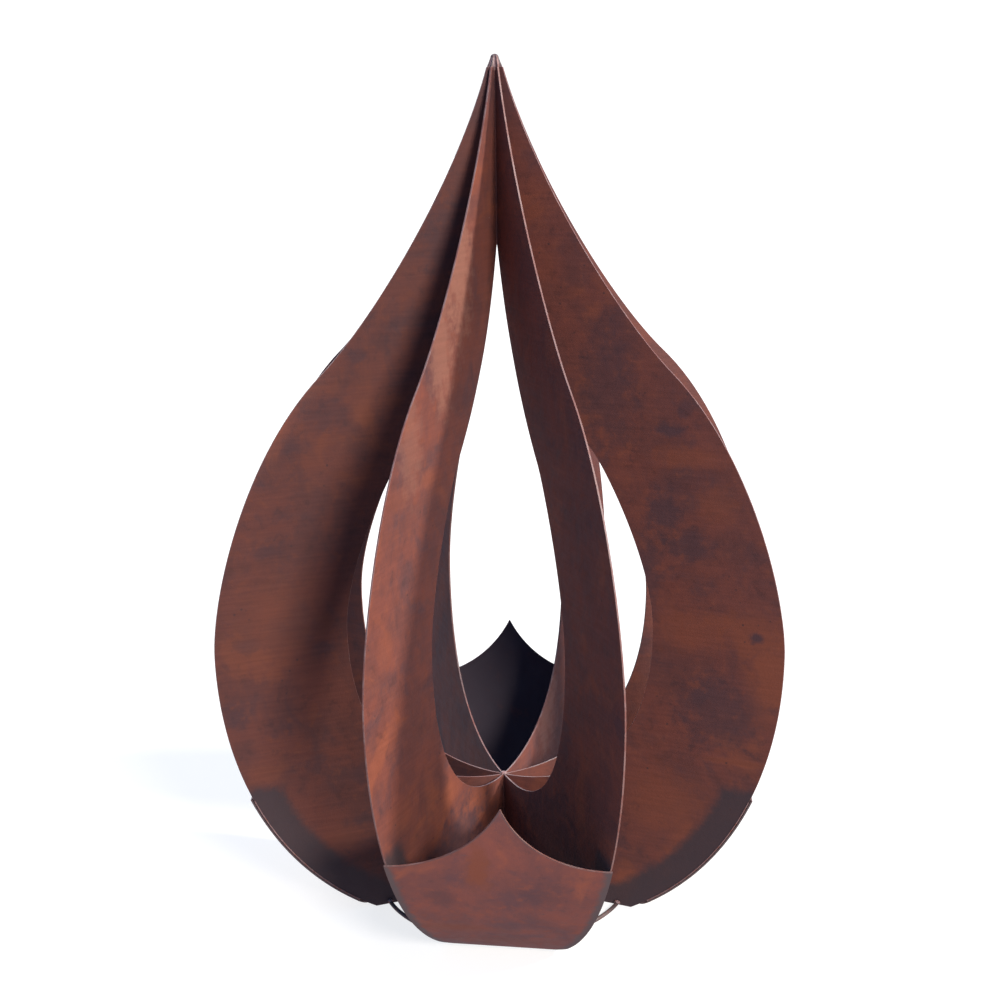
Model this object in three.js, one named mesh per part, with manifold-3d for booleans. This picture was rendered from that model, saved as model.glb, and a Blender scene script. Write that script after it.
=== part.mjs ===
// Teardrop garden sculpture in weathering steel sheet.
// Four petals, each one sheet folded on the upright axis, stand back to back and give eight radial fins.
// A large teardrop opening is cut through every fin, so the middle of the sculpture is hollow.
// Four foot plates with ogee tops close the petals near the ground, and a rod ring ties the fins together.
// Millimetres, +Z up. The origin is on the ground under the tip, and the front petal faces -Y.
import * as THREE from 'three';
import { mergeVertices } from 'three/addons/utils/BufferGeometryUtils.js';
import Module from 'manifold-3d';

const wasm = await Module();
wasm.setup();

// Driving dimensions
const HEIGHT = 1004;
const SHEET = 2;
const GAP = 0.3;
const PETAL_NAMES = ['front', 'right', 'back', 'left'];
const FIN_SPREAD = Math.PI / 8;

// The petal's blank, laid flat: x is the distance from the fold line, y the height above the ground.
// Three curves make the outer edge: foot to belly, belly to waist, waist to tip.
// The pulls are the lengths of the curves' handles.
const FOOT_X = 166.5;
const FOOT_RISE = THREE.MathUtils.degToRad(30);
const BELLY = new THREE.Vector2(346, 346);
const WAIST = new THREE.Vector2(210, 660);
const WAIST_LEAN = THREE.MathUtils.degToRad(137);
const TIP = new THREE.Vector2(8, 990);
const TIP_LEAN = THREE.MathUtils.degToRad(107);
const EDGE_PULL = { foot: 144, underBelly: 136, overBelly: 67, underWaist: 129, overWaist: 91, tip: 124 };

// The teardrop opening has the same three stretches, from its round bottom to its pointed top.
const HOLE_BOTTOM = 146;
const HOLE_BELLY = new THREE.Vector2(190.5, 360);
const HOLE_WAIST = new THREE.Vector2(115, 565);
const HOLE_WAIST_LEAN = THREE.MathUtils.degToRad(130.5);
const HOLE_TOP = 796;
const HOLE_TOP_LEAN = THREE.MathUtils.degToRad(105.3);
const HOLE_PULL = { bottom: 76, underBelly: 178, overBelly: 77, underWaist: 22, overWaist: 94, top: 80 };

// The front petal was folded a little off the blank's middle line: by this much at the ground, by nothing
// at the tip. Close to the bend the blank's outline keeps its place, and the lean grows over the ramp.
const FOLD_LEAN = { front: 8, right: 0, back: 0, left: 0 };
const LEAN_RAMP = 40;

// Foot plates
const PLATE_BOTTOM = 4;
const PLATE_SHOULDER = 167;
const CUSP = {
  front: { height: 247, drift: 7 },
  right: { height: 241, drift: 0 },
  back: { height: 241, drift: 0 },
  left: { height: 241, drift: 0 },
};
const PLATE_OVERHANG = 0.8;
const PLATE_CORNER_X = 14;
const PLATE_CORNER_Z = 9;
const CUSP_HALF_WIDTH = 0.5;
const ROW_SPACING = 1;

// Ring and welds
const RING_RADIUS = 151;
const ROD_RADIUS = 2.5;
const HUB_WELD_RADIUS = 5.5;
const HUB_WELD_HEIGHT = 3.2;
const TIP_WELD_RADIUS = 9.3;
const TIP_CAP_RADIUS = 5;
const TIP_CAP_HEIGHT = 4;

// Smoothness
const LOWER_STEPS = 14;
const MIDDLE_STEPS = 9;
const UPPER_STEPS = 12;
const UNDERSIDE_STEPS = 3;
const BEND_STEPS = 6;
const CUSP_STEPS = 9;
const CORNER_STEPS = 4;
const RING_STEPS = 72;
const ROD_SIDES = 8;
const NOTCH_STEPS = 6;
const WELD_STEPS = 16;
const BEAD_RINGS = 5;

// The fold: its outside radius, and its centre, set so that neighbouring petals just clear each other.
const BEND_OUTSIDE = 3;
const BEND_MIDDLE = BEND_OUTSIDE - SHEET / 2;
const BEND_TURN = Math.PI / 2 - FIN_SPREAD;
const BEND_HALF_LENGTH = BEND_MIDDLE * BEND_TURN;
const BEND_CENTRE = (2 * BEND_OUTSIDE + GAP) / Math.SQRT2;

const rustedSheet = { color: 0x5f3226, roughness: 0.82, metalness: 0.25 };
const plateSheet = { color: 0x6d4238, roughness: 0.74, metalness: 0.35 };
const rodSteel = { color: 0x4a3430, roughness: 0.7, metalness: 0.4 };
const weldSteel = { color: 0x7a5a50, roughness: 0.6, metalness: 0.5 };

// Point of the folded sheet, in plan, for a distance s from the fold line and an offset w from its middle.
// A positive offset is on the side of the axis, a negative one inside the petal.
function foldedPoint(s, w) {
  const turn = THREE.MathUtils.clamp(s / BEND_MIDDLE, -BEND_TURN, BEND_TURN);
  const run = s - BEND_MIDDLE * turn;
  const x = (BEND_MIDDLE + w) * Math.sin(turn) + run * Math.cos(turn);
  const y = (BEND_MIDDLE + w) * Math.cos(turn) - run * Math.sin(turn) - BEND_CENTRE;
  return new THREE.Vector2(x, y);
}

function step(point, angle, length) {
  return new THREE.Vector2(point.x + Math.cos(angle) * length, point.y + Math.sin(angle) * length);
}

function curvePoints(from, handleFrom, handleTo, to, steps) {
  return new THREE.CubicBezierCurve(from, handleFrom, handleTo, to).getPoints(steps);
}

function linePoints(from, to, steps) {
  return new THREE.LineCurve(from, to).getPoints(steps);
}

// Joins stretches that share their end points.
function chain(...stretches) {
  return stretches.flatMap((points, index) => (index === 0 ? points : points.slice(1)));
}

const UP = Math.PI / 2;

function footToBelly() {
  const foot = new THREE.Vector2(FOOT_X, 0);
  const footHandle = step(foot, FOOT_RISE, EDGE_PULL.foot);
  return curvePoints(foot, footHandle, step(BELLY, UP, -EDGE_PULL.underBelly), BELLY, LOWER_STEPS);
}

// Outer edge of one half of the blank, from the fold line at the ground to the fold line at the tip.
function outerEdge() {
  const foldFoot = new THREE.Vector2(BEND_HALF_LENGTH, 0);
  const underside = linePoints(foldFoot, new THREE.Vector2(FOOT_X, 0), UNDERSIDE_STEPS);
  const overBelly = step(BELLY, UP, EDGE_PULL.overBelly);
  const underWaist = step(WAIST, WAIST_LEAN, -EDGE_PULL.underWaist);
  const shoulder = curvePoints(BELLY, overBelly, underWaist, WAIST, MIDDLE_STEPS);
  const overWaist = step(WAIST, WAIST_LEAN, EDGE_PULL.overWaist);
  const spire = curvePoints(WAIST, overWaist, step(TIP, TIP_LEAN, -EDGE_PULL.tip), TIP, UPPER_STEPS);
  const top = [TIP, new THREE.Vector2(BEND_HALF_LENGTH, TIP.y)];
  return chain(underside, footToBelly(), shoulder, spire, top);
}

function holeTopAt(s) {
  return HOLE_TOP + Math.abs(s) * Math.tan(HOLE_TOP_LEAN);
}

// Edge of the opening, with as many points as the outer edge, so that the two pair up.
function holeEdge() {
  const bottom = new THREE.Vector2(BEND_HALF_LENGTH, HOLE_BOTTOM);
  const top = new THREE.Vector2(BEND_HALF_LENGTH, holeTopAt(BEND_HALF_LENGTH));
  const bottomHandle = step(bottom, 0, HOLE_PULL.bottom);
  const underBelly = step(HOLE_BELLY, UP, -HOLE_PULL.underBelly);
  const overBelly = step(HOLE_BELLY, UP, HOLE_PULL.overBelly);
  const underWaist = step(HOLE_WAIST, HOLE_WAIST_LEAN, -HOLE_PULL.underWaist);
  const overWaist = step(HOLE_WAIST, HOLE_WAIST_LEAN, HOLE_PULL.overWaist);
  const topHandle = step(top, HOLE_TOP_LEAN, -HOLE_PULL.top);
  const bowl = curvePoints(bottom, bottomHandle, underBelly, HOLE_BELLY, UNDERSIDE_STEPS + LOWER_STEPS);
  const cheek = curvePoints(HOLE_BELLY, overBelly, underWaist, HOLE_WAIST, MIDDLE_STEPS);
  const point = curvePoints(HOLE_WAIST, overWaist, topHandle, top, UPPER_STEPS + 1);
  return chain(bowl, cheek, point);
}

// Pairs of an outer and an inner point, once around the whole blank.
function blankPairs() {
  const outer = outerEdge();
  const hole = holeEdge();
  const rightSide = outer.map((point, index) => ({ outer: point, hole: hole[index] }));
  const mirrored = (point) => new THREE.Vector2(-point.x, point.y);
  const mirroredPair = (pair) => ({ outer: mirrored(pair.outer), hole: mirrored(pair.hole) });
  const leftSide = rightSide.map(mirroredPair).reverse();
  const acrossTop = [];
  const acrossBottom = [];
  for (let i = 1; i < BEND_STEPS; i += 1) {
    const s = BEND_HALF_LENGTH * (1 - (2 * i) / BEND_STEPS);
    acrossTop.push({ outer: new THREE.Vector2(s, TIP.y), hole: new THREE.Vector2(s, holeTopAt(s)) });
    acrossBottom.push({ outer: new THREE.Vector2(-s, 0), hole: new THREE.Vector2(-s, HOLE_BOTTOM) });
  }
  return [...rightSide, ...acrossTop, ...leftSide, ...acrossBottom];
}

// Point of the blank after the fold has been moved off the middle line.
function leaned(point, lean) {
  const clear = THREE.MathUtils.clamp((Math.abs(point.x) - BEND_HALF_LENGTH) / LEAN_RAMP, 0, 1);
  return new THREE.Vector2(point.x + lean * (1 - point.y / HEIGHT) * clear, point.y);
}

// Closed band whose section at each station is a ring of four points.
function bandGeometry(stations, closed) {
  const positions = stations.flat().flatMap((point) => [point.x, point.y, point.z]);
  const index = [];
  const spans = closed ? stations.length : stations.length - 1;
  for (let i = 0; i < spans; i += 1) {
    const a = i * 4;
    const b = ((i + 1) % stations.length) * 4;
    for (let k = 0; k < 4; k += 1) {
      const next = (k + 1) % 4;
      index.push(a + k, b + next, b + k, a + k, a + next, b + next);
    }
  }
  if (!closed) {
    const last = (stations.length - 1) * 4;
    index.push(0, 2, 1, 0, 3, 2);
    index.push(last, last + 1, last + 2, last, last + 2, last + 3);
  }
  const geometry = new THREE.BufferGeometry();
  geometry.setAttribute('position', new THREE.Float32BufferAttribute(positions, 3));
  geometry.setIndex(index);
  return geometry;
}

function toSolid(geometry) {
  const bare = geometry.clone();
  bare.deleteAttribute('normal');
  bare.deleteAttribute('uv');
  const merged = mergeVertices(bare, 1e-4);
  return new wasm.Manifold(new wasm.Mesh({
    numProp: 3,
    vertProperties: new Float32Array(merged.getAttribute('position').array),
    triVerts: new Uint32Array(merged.getIndex().array),
  }));
}

function toGeometry(solid) {
  const mesh = solid.getMesh();
  const geometry = new THREE.BufferGeometry();
  geometry.setAttribute('position', new THREE.BufferAttribute(new Float32Array(mesh.vertProperties), 3));
  geometry.setIndex(new THREE.BufferAttribute(new Uint32Array(mesh.triVerts), 1));
  geometry.computeVertexNormals();
  return geometry;
}

// Ring turned about Z from a section given as distance from the axis and height.
function turned(section, steps) {
  return new THREE.LatheGeometry(section, steps).rotateX(Math.PI / 2);
}

function rodSection() {
  const corner = ROD_RADIUS / Math.cos(Math.PI / ROD_SIDES);
  const centre = new THREE.Vector2(RING_RADIUS, ROD_RADIUS);
  const points = [];
  for (let i = 0; i <= ROD_SIDES; i += 1) {
    const angle = ((2 * (i % ROD_SIDES) - 1) * Math.PI) / ROD_SIDES;
    points.push(step(centre, angle, corner));
  }
  return points;
}

// The notch for the rod: as wide as the rod's corners and its clearance, round above and open below.
function notchSection() {
  const half = ROD_RADIUS / Math.cos(Math.PI / ROD_SIDES) + GAP;
  const centre = new THREE.Vector2(RING_RADIUS, ROD_RADIUS);
  const points = [new THREE.Vector2(RING_RADIUS + half, -half)];
  for (let i = 0; i <= NOTCH_STEPS; i += 1) {
    points.push(step(centre, (i * Math.PI) / NOTCH_STEPS, half));
  }
  points.push(new THREE.Vector2(RING_RADIUS - half, -half), points[0].clone());
  return points;
}

function petalGeometry(lean) {
  const half = SHEET / 2;
  const stations = blankPairs().map((pair) => {
    const outer = leaned(pair.outer, lean);
    const hole = leaned(pair.hole, lean);
    const outerAxisSide = foldedPoint(outer.x, half);
    const outerInside = foldedPoint(outer.x, -half);
    const holeAxisSide = foldedPoint(hole.x, half);
    const holeInside = foldedPoint(hole.x, -half);
    return [
      new THREE.Vector3(outerAxisSide.x, outerAxisSide.y, outer.y),
      new THREE.Vector3(holeAxisSide.x, holeAxisSide.y, hole.y),
      new THREE.Vector3(holeInside.x, holeInside.y, hole.y),
      new THREE.Vector3(outerInside.x, outerInside.y, outer.y),
    ];
  });
  const sheet = toSolid(bandGeometry(stations, true));
  const notch = toSolid(turned(notchSection(), RING_STEPS));
  return toGeometry(sheet.subtract(notch));
}

function interpolate(heights, values, height) {
  const upper = Math.max(1, heights.findIndex((value) => value >= height));
  const share = (height - heights[upper - 1]) / (heights[upper] - heights[upper - 1]);
  return values[upper - 1].clone().lerp(values[upper], share);
}

// Lower outer edge of one fin, as distance from the fold and height.
// The side is 1 for the petal's right fin and -1 for its left one.
function finEdge(side, lean) {
  return footToBelly().map((point) => {
    const moved = leaned(new THREE.Vector2(side * point.x, point.y), lean);
    return new THREE.Vector2(side * moved.x, point.y);
  });
}

// Line along one fin's outer edge, moved outwards, that a face of the foot plate passes through.
function plateLine(side, lean, offset) {
  const edge = finEdge(side, lean).map((point) => {
    const corner = foldedPoint(point.x, -SHEET / 2);
    return new THREE.Vector3(side * corner.x, corner.y, point.y);
  });
  return edge.map((point, index) => {
    const before = edge[Math.max(index - 1, 0)];
    const after = edge[Math.min(index + 1, edge.length - 1)];
    const along = after.clone().sub(before).setX(0).normalize();
    return new THREE.Vector3(point.x, point.y - along.z * offset, point.z + along.y * offset);
  });
}

// Radius of the hollow arc that rises from level at the shoulder to the cusp.
function arcRadius(reach, rise) {
  return (reach * reach + rise * rise) / (2 * rise);
}

// Distance of a foot plate's edge from the petal's middle: the fin's width,
// less the rounded corner at the bottom and the hollow arc at the top.
function plateHalfWidth(side, lean, cuspHeight, z) {
  const edge = finEdge(side, lean);
  const heights = edge.map((point) => point.y);
  const finWidthAt = (height) => {
    const distance = interpolate(heights, edge, height).x;
    return foldedPoint(distance, SHEET / 2).x + PLATE_OVERHANG;
  };
  if (z > PLATE_SHOULDER) {
    const reach = finWidthAt(PLATE_SHOULDER);
    const radius = arcRadius(reach, cuspHeight - PLATE_SHOULDER);
    const rise = z - PLATE_SHOULDER;
    return reach - Math.sqrt(rise * (2 * radius - rise));
  }
  const cornerShare = Math.min((z - PLATE_BOTTOM) / PLATE_CORNER_Z, 1);
  return finWidthAt(z) - PLATE_CORNER_X * (1 - Math.sqrt(cornerShare * (2 - cornerShare)));
}

// Heights of the rows of points of a foot plate, from its bottom to its cusp.
function plateHeights(cuspHeight) {
  const edgeHeights = footToBelly().map((point) => point.y);
  const cornerHeights = [];
  for (let i = 0; i <= CORNER_STEPS; i += 1) {
    const angle = (i / CORNER_STEPS) * UP;
    cornerHeights.push(PLATE_BOTTOM + PLATE_CORNER_Z * (1 - Math.cos(angle)));
  }
  const reach = plateHalfWidth(1, 0, cuspHeight, PLATE_SHOULDER);
  const radius = arcRadius(reach, cuspHeight - PLATE_SHOULDER);
  const sweep = Math.asin((reach - CUSP_HALF_WIDTH) / radius);
  const arcHeights = [];
  for (let i = 0; i <= CUSP_STEPS; i += 1) {
    arcHeights.push(PLATE_SHOULDER + radius * (1 - Math.cos((i / CUSP_STEPS) * sweep)));
  }
  const top = arcHeights[CUSP_STEPS];
  const between = (z, low, high) => z > low + ROW_SPACING && z < high - ROW_SPACING;
  const cornerTop = PLATE_BOTTOM + PLATE_CORNER_Z;
  const sideBends = edgeHeights.filter((z) => between(z, cornerTop, PLATE_SHOULDER));
  const arcBends = edgeHeights.filter((z) => between(z, PLATE_SHOULDER, top));
  return [...cornerHeights, ...sideBends, ...arcHeights, ...arcBends].sort((a, b) => a - b);
}

// The cusp's drift is how far it was cut from the petal's middle.
function footPlateGeometry(lean, cusp) {
  const heights = footToBelly().map((point) => point.y);
  const faceLines = (offset) => ({ left: plateLine(-1, lean, offset), right: plateLine(1, lean, offset) });
  const inside = faceLines(GAP);
  const outside = faceLines(GAP + SHEET);
  const pointAt = (face, x, z) => {
    const left = interpolate(heights, face.left, z);
    const right = interpolate(heights, face.right, z);
    return left.lerp(right, (x - left.x) / (right.x - left.x));
  };
  const stations = plateHeights(cusp.height).map((z) => {
    const shift = (cusp.drift * Math.max(z - PLATE_SHOULDER, 0)) / (cusp.height - PLATE_SHOULDER);
    const leftX = shift - plateHalfWidth(-1, lean, cusp.height, z);
    const rightX = shift + plateHalfWidth(1, lean, cusp.height, z);
    return [
      pointAt(inside, leftX, z),
      pointAt(outside, leftX, z),
      pointAt(outside, rightX, z),
      pointAt(inside, rightX, z),
    ];
  });
  return toGeometry(toSolid(bandGeometry(stations, false)));
}

function ringGeometry() {
  return turned(rodSection(), RING_STEPS);
}

// Half section of a round cap from its rim to its top.
function domeSection(radius, base, top) {
  const section = [];
  for (let i = 0; i < BEAD_RINGS; i += 1) {
    const angle = (i / BEAD_RINGS) * UP;
    section.push(new THREE.Vector2(radius * Math.cos(angle), base + (top - base) * Math.sin(angle)));
  }
  section.push(new THREE.Vector2(0, top));
  return section;
}

// Low round bead of weld: flat below, domed above.
function hubWeldGeometry() {
  const base = HOLE_BOTTOM + GAP;
  const dome = domeSection(HUB_WELD_RADIUS, base, base + HUB_WELD_HEIGHT);
  return turned([new THREE.Vector2(0, base), ...dome], WELD_STEPS);
}

// Weld that carries the fins' taper on above them and runs into the side of a small round cap.
function tipWeldGeometry() {
  const base = TIP.y + GAP;
  const rim = new THREE.Vector2(TIP_WELD_RADIUS, base);
  const dome = domeSection(TIP_CAP_RADIUS, HEIGHT - TIP_CAP_HEIGHT, HEIGHT);
  return turned([new THREE.Vector2(0, base), rim, ...dome.slice(1)], WELD_STEPS);
}

function meshOf(name, geometry, finish) {
  const mesh = new THREE.Mesh(geometry, new THREE.MeshStandardMaterial(finish));
  mesh.name = name;
  return mesh;
}

function buildSculpture() {
  const sculpture = new THREE.Group();
  PETAL_NAMES.forEach((side, quarter) => {
    const lean = FOLD_LEAN[side];
    const petalMesh = meshOf(`petal_${side}`, petalGeometry(lean), rustedSheet);
    const plateMesh = meshOf(`foot_plate_${side}`, footPlateGeometry(lean, CUSP[side]), plateSheet);
    petalMesh.rotation.z = quarter * UP;
    plateMesh.rotation.z = quarter * UP;
    sculpture.add(petalMesh, plateMesh);
  });
  sculpture.add(meshOf('base_ring', ringGeometry(), rodSteel));
  sculpture.add(meshOf('hub_weld', hubWeldGeometry(), weldSteel));
  sculpture.add(meshOf('tip_weld', tipWeldGeometry(), weldSteel));
  return sculpture;
}

const sculpture = buildSculpture();

export default sculpture;
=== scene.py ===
"""Looks of a teardrop garden sculpture in weathering steel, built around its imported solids.

The petals, foot plates, ring and welds are rebuilt here as finer meshes of the same form: smooth outlines,
eased sheet edges, hand-laid weld beads and rust. Sizes are in metres, +Z is up, the front petal faces -Y.
"""

import math

import bmesh
import bpy
from mathutils import Matrix, Vector, noise


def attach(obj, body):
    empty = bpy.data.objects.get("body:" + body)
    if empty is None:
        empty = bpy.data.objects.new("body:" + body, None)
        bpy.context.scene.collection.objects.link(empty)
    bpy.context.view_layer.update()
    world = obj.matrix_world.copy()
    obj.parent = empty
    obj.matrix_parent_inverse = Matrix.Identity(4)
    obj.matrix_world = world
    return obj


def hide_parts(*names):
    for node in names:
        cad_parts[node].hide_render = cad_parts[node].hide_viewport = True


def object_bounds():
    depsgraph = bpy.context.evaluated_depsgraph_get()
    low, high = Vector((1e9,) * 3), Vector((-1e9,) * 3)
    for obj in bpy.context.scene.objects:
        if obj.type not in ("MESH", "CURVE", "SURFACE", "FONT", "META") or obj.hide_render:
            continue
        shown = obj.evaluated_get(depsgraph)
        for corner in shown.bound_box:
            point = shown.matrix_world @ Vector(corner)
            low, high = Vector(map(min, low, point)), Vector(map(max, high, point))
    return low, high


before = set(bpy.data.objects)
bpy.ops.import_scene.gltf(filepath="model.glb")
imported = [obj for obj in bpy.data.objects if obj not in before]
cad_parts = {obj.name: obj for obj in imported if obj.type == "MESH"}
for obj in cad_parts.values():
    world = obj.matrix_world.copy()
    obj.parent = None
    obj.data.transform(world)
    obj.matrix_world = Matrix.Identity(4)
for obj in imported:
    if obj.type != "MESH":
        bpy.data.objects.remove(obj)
cad_low, cad_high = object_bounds()

MM = 0.001
HEIGHT = cad_high.z
SHEET = 2 * MM
GAP = 0.3 * MM
SIDES = ("front", "right", "back", "left")
FIN_SPREAD = math.radians(22.5)
UP = math.pi / 2

# The petal's flat blank: distance from the fold line and height, with the lengths of the curves' handles.
FOOT = Vector((166.5, 0)) * MM
FOOT_RISE = math.radians(30)
BELLY = Vector((346, 346)) * MM
WAIST = Vector((210, 660)) * MM
WAIST_LEAN = math.radians(137)
TIP = Vector((8, 990)) * MM
TIP_LEAN = math.radians(107)
EDGE_PULL = {
    "foot": 144,
    "under_belly": 136,
    "over_belly": 67,
    "under_waist": 129,
    "over_waist": 91,
    "tip": 124,
}

# The teardrop opening in the blank
HOLE_BOTTOM = 146 * MM
HOLE_BELLY = Vector((190.5, 360)) * MM
HOLE_WAIST = Vector((115, 565)) * MM
HOLE_WAIST_LEAN = math.radians(130.5)
HOLE_TOP = 796 * MM
HOLE_TOP_LEAN = math.radians(105.3)
HOLE_PULL = {
    "bottom": 76,
    "under_belly": 178,
    "over_belly": 77,
    "under_waist": 22,
    "over_waist": 94,
    "top": 80,
}

# The front petal's fold leans from its blank's middle line, by this much at the ground.
FOLD_LEAN = {"front": 8 * MM, "right": 0.0, "back": 0.0, "left": 0.0}
LEAN_RAMP = 40 * MM

# The fold
BEND_OUTSIDE = 3 * MM
BEND_MIDDLE = BEND_OUTSIDE - SHEET / 2
BEND_TURN = UP - FIN_SPREAD
BEND_HALF = BEND_MIDDLE * BEND_TURN
BEND_CENTRE = (2 * BEND_OUTSIDE + GAP) / math.sqrt(2)

# Foot plates
PLATE_BOTTOM = 4 * MM
PLATE_SHOULDER = 167 * MM
PLATE_OVERHANG = 0.8 * MM
PLATE_CORNER = Vector((14, 9)) * MM
CUSP = {
    "front": (247 * MM, 7 * MM),
    "right": (241 * MM, 0.0),
    "back": (241 * MM, 0.0),
    "left": (241 * MM, 0.0),
}
CUSP_HALF_WIDTH = 0.5 * MM

# Ring, hub weld, tip weld and tacks; the three numbers of a weld are its half sizes.
RING_RADIUS = 151 * MM
ROD_RADIUS = 2.5 * MM
RING_STATIONS = 240
ROD_SIDES = 14
RING_WOBBLE = 0.5 * MM
RING_WELD = Vector((4.2, 4.6, 3.6)) * MM
RING_WELD_BESIDE = 3.0 * MM
RING_WELD_HEIGHT = 3.6 * MM
HUB_BEAD = Vector((4.6, 4.2, 2.4)) * MM
HUB_BEAD_RISE = 0.9 * MM
HUB_LOBE = Vector((1.5, 2.2, 1.3)) * MM
HUB_LOBE_DROP = 0.4 * MM
TACK = Vector((0.9, 1.6, 1.5)) * MM
TIP_WELD_RADIUS = 9.3 * MM
TIP_CAP_RADIUS = 5 * MM
TIP_CAP_HEIGHT = 4 * MM
TIP_COLUMNS = 64
TIP_DOME_ROWS = 9
TIP_TAPER_ROWS = 12
TIP_FILL_SHARE = 0.62
TIP_FILL_DEPTH = 6 * MM
TIP_RIDGE_SPREAD = math.radians(8)
LUMP_GRAIN = 2.1

# Weld seam down the sides of the foot plates
SEAM_RADIUS = 0.9 * MM
SEAM_STEPS = 220
SEAM_SIDES = 8
SEAM_STOP = 2 * MM
SEAM_INSET = 0.5 * MM
SEAM_PROUD = 0.15 * MM
SEAM_RIPPLE = 2.4 * MM

# How light each petal's rust is
TONE = {"front": 0.97, "right": 0.86, "back": 0.95, "left": 0.76}

# Smoothness
STRETCH_STEPS = {"underside": 10, "lower": 46, "middle": 30, "upper": 46}
BEND_STEPS = 8
ACROSS_STEPS = 26
EDGE_ROUND = 0.3 * MM
PLATE_ROWS = 64
PLATE_CORNER_ROWS = 8
PLATE_COLUMNS = 40


def step(point, angle, length_mm):
    return point + Vector((math.cos(angle), math.sin(angle))) * length_mm * MM


def curve(a, b, c, d, steps):
    """Points of a cubic curve, both ends included."""
    points = []
    for i in range(steps + 1):
        t = i / steps
        u = 1 - t
        points.append(a * u**3 + b * (3 * u * u * t) + c * (3 * u * t * t) + d * t**3)
    return points


def line(a, b, steps):
    return [a.lerp(b, i / steps) for i in range(steps + 1)]


def chain(*stretches):
    """Joins stretches that share their end points."""
    joined = list(stretches[0])
    for stretch in stretches[1:]:
        joined += stretch[1:]
    return joined


def foot_to_belly(steps):
    foot_handle = step(FOOT, FOOT_RISE, EDGE_PULL["foot"])
    return curve(FOOT, foot_handle, step(BELLY, UP, -EDGE_PULL["under_belly"]), BELLY, steps)


def outer_edge():
    """Outer edge of one half of the blank, from the fold at the ground to the fold at the tip."""
    steps = STRETCH_STEPS
    underside = line(Vector((BEND_HALF, 0)), FOOT, steps["underside"])
    over_belly = step(BELLY, UP, EDGE_PULL["over_belly"])
    under_waist = step(WAIST, WAIST_LEAN, -EDGE_PULL["under_waist"])
    shoulder = curve(BELLY, over_belly, under_waist, WAIST, steps["middle"])
    over_waist = step(WAIST, WAIST_LEAN, EDGE_PULL["over_waist"])
    spire = curve(WAIST, over_waist, step(TIP, TIP_LEAN, -EDGE_PULL["tip"]), TIP, steps["upper"])
    top = [TIP, Vector((BEND_HALF, TIP.y))]
    return chain(underside, foot_to_belly(steps["lower"]), shoulder, spire, top)


def hole_top_at(s):
    return HOLE_TOP + abs(s) * math.tan(HOLE_TOP_LEAN)


def hole_edge():
    """Edge of the opening, with as many points as the outer edge."""
    steps = STRETCH_STEPS
    bottom = Vector((BEND_HALF, HOLE_BOTTOM))
    top = Vector((BEND_HALF, hole_top_at(BEND_HALF)))
    bottom_handle = step(bottom, 0, HOLE_PULL["bottom"])
    under_belly = step(HOLE_BELLY, UP, -HOLE_PULL["under_belly"])
    over_belly = step(HOLE_BELLY, UP, HOLE_PULL["over_belly"])
    under_waist = step(HOLE_WAIST, HOLE_WAIST_LEAN, -HOLE_PULL["under_waist"])
    over_waist = step(HOLE_WAIST, HOLE_WAIST_LEAN, HOLE_PULL["over_waist"])
    top_handle = step(top, HOLE_TOP_LEAN, -HOLE_PULL["top"])
    bowl = curve(bottom, bottom_handle, under_belly, HOLE_BELLY, steps["underside"] + steps["lower"])
    cheek = curve(HOLE_BELLY, over_belly, under_waist, HOLE_WAIST, steps["middle"])
    point = curve(HOLE_WAIST, over_waist, top_handle, top, steps["upper"] + 1)
    return chain(bowl, cheek, point)


def blank_pairs():
    """Pairs of an outer and an inner point, once around the whole blank."""
    right = list(zip(outer_edge(), hole_edge()))
    mirrored = [(Vector((-o.x, o.y)), Vector((-h.x, h.y))) for o, h in reversed(right)]
    across_top, across_bottom = [], []
    for i in range(1, BEND_STEPS):
        s = BEND_HALF * (1 - 2 * i / BEND_STEPS)
        across_top.append((Vector((s, TIP.y)), Vector((s, hole_top_at(s)))))
        across_bottom.append((Vector((-s, 0)), Vector((-s, HOLE_BOTTOM))))
    return right + across_top + mirrored + across_bottom


def leaned(point, lean):
    """Point of the blank after the fold has been moved off the middle line."""
    clear = min(max((abs(point.x) - BEND_HALF) / LEAN_RAMP, 0), 1)
    return Vector((point.x + lean * (1 - point.y / HEIGHT) * clear, point.y))


def folded(s, w):
    """Plan position of the folded sheet: s from the fold line, w from the sheet's middle towards the axis."""
    turn = min(max(s / BEND_MIDDLE, -BEND_TURN), BEND_TURN)
    run = s - BEND_MIDDLE * turn
    x = (BEND_MIDDLE + w) * math.sin(turn) + run * math.cos(turn)
    y = (BEND_MIDDLE + w) * math.cos(turn) - run * math.sin(turn) - BEND_CENTRE
    return Vector((x, y))


def quarter_turn(side):
    return Matrix.Rotation(SIDES.index(side) * math.pi / 2, 4, "Z")


def add_piece(name, vertices, faces, materials, replaces=()):
    """A mesh piece that rides on the sculpture and takes the materials it is given."""
    mesh = bpy.data.meshes.new(name)
    mesh.from_pydata([tuple(v) for v in vertices], [], faces)
    mesh.update()
    piece = bpy.data.objects.new(name, mesh)
    bpy.context.scene.collection.objects.link(piece)
    for material in materials:
        mesh.materials.append(material)
    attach(piece, "root")
    if replaces:
        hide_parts(*replaces)
    return piece


def set_attribute(piece, name, values):
    attribute = piece.data.attributes.new(name, "FLOAT", "POINT")
    attribute.data.foreach_set("value", values)


def smooth(piece, angle_deg=40):
    piece.data.shade_smooth()
    piece.data.set_sharp_from_angle(angle=math.radians(angle_deg))


def ease_edges(piece, width, material_index):
    """Rounds the sheet's sharp arrises."""
    bevel = piece.modifiers.new("eased_edges", "BEVEL")
    bevel.width = width
    bevel.segments = 2
    bevel.limit_method = "ANGLE"
    bevel.angle_limit = math.radians(50)
    bevel.harden_normals = True
    bevel.material = material_index


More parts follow.
